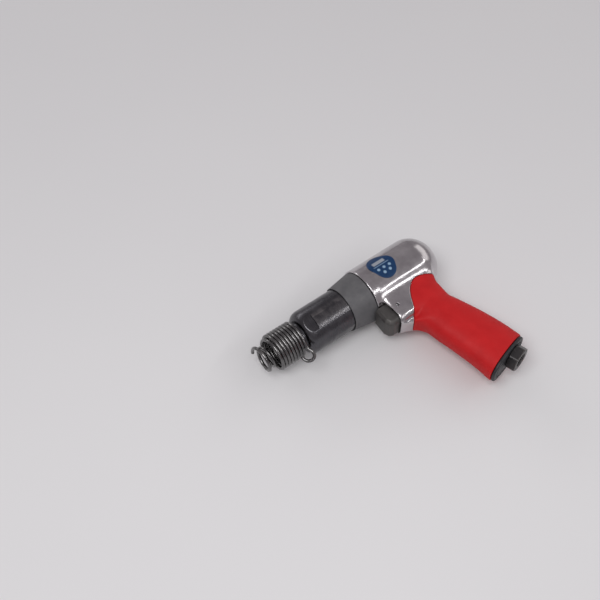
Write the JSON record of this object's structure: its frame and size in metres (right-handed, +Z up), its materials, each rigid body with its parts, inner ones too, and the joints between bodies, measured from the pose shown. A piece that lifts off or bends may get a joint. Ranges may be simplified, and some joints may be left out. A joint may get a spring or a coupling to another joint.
{
  "type": "pneumatic air hammer",
  "caption": "Pistol-grip pneumatic air hammer with a round barrel housing, coiled chisel retaining spring, red rubber grip sleeve, push trigger and hex air inlet.",
  "frame": {"origin": "centre of the tool's outline seen from above, on the surface it lies on", "axes": "the tool lies on its right side; +X runs along the barrel from the nose to the rear, +Y from the grip towards the spine, +Z up, which is the tool's left side"},
  "size_m": [0.2034, 0.1708, 0.0547],
  "materials": {
    "polished_aluminium": "polished cast aluminium, satin in the shade",
    "black_steel": "turned steel, black oxide, satin",
    "grey_collar": "matte grey",
    "spring_steel": "oil-tempered spring wire with bright highlights",
    "bright_steel": "ground steel",
    "brass": "machined brass",
    "red_rubber": "soft matte red rubber",
    "black_rubber": "black nitrile",
    "black_plastic": "black moulded plastic",
    "trigger_finish": "dark grey semi-matte coat",
    "inlet_steel": "blackened steel hexagon",
    "navy_badge": "navy label with plain round symbols"
  },
  "bodies": {
    "tool_body": {"housing": "polished_aluminium", "barrel": "black_steel", "exhaust_collar": "grey_collar", "barrel_oring": "black_rubber", "valve_block": "bright_steel", "valve_cover": "bright_steel", "valve_dowel": "bright_steel", "cushion_ring": "black_rubber", "trigger_pin": "bright_steel", "throttle_bushing": "brass", "bushing_oring": "black_rubber", "throttle_spring": "bright_steel", "grip_sleeve": "red_rubber", "end_plate": "black_plastic", "inlet_bushing": "inlet_steel", "inlet_oring": "black_rubber", "inlet_screen": "brass", "badge": "navy_badge"},
    "retainer": {"retaining_spring": "spring_steel"},
    "hammer_piston": {"piston": "bright_steel"},
    "air_valve": {"valve_plate": "bright_steel"},
    "trigger_body": {"trigger": "trigger_finish"},
    "throttle_valve": {"throttle_stem": "bright_steel", "throttle_seal": "black_rubber"}
  },
  "joints": [
    {"name": "retainer_unscrew", "type": "hinge", "parent": "tool_body", "child": "retainer", "pos_m": [-0.00831, 0.05838, 0.027], "axis": [-1, 0, 0], "range_deg": [0, 1800]},
    {"name": "piston_stroke", "type": "slide", "parent": "tool_body", "child": "hammer_piston", "axis": [-1, 0, 0], "range_m": [0, 0.065]},
    {"name": "valve_plate_lift", "type": "slide", "parent": "tool_body", "child": "air_valve", "axis": [1, 0, 0], "range_m": [0, 0.0012]},
    {"name": "trigger_pull", "type": "slide", "parent": "tool_body", "child": "trigger_body", "axis": [1, 0, 0], "range_m": [0, 0.0045], "stiffness_N_per_m": 500, "springref_m": -0.004},
    {"name": "throttle_open", "type": "slide", "parent": "tool_body", "child": "throttle_valve", "axis": [1, 0, 0], "range_m": [0, 0.0045], "deforming": ["throttle_spring"]}
  ],
  "couplings": [
    {"joint": "throttle_open", "follows": "trigger_pull", "ratio": 1}
  ]
}
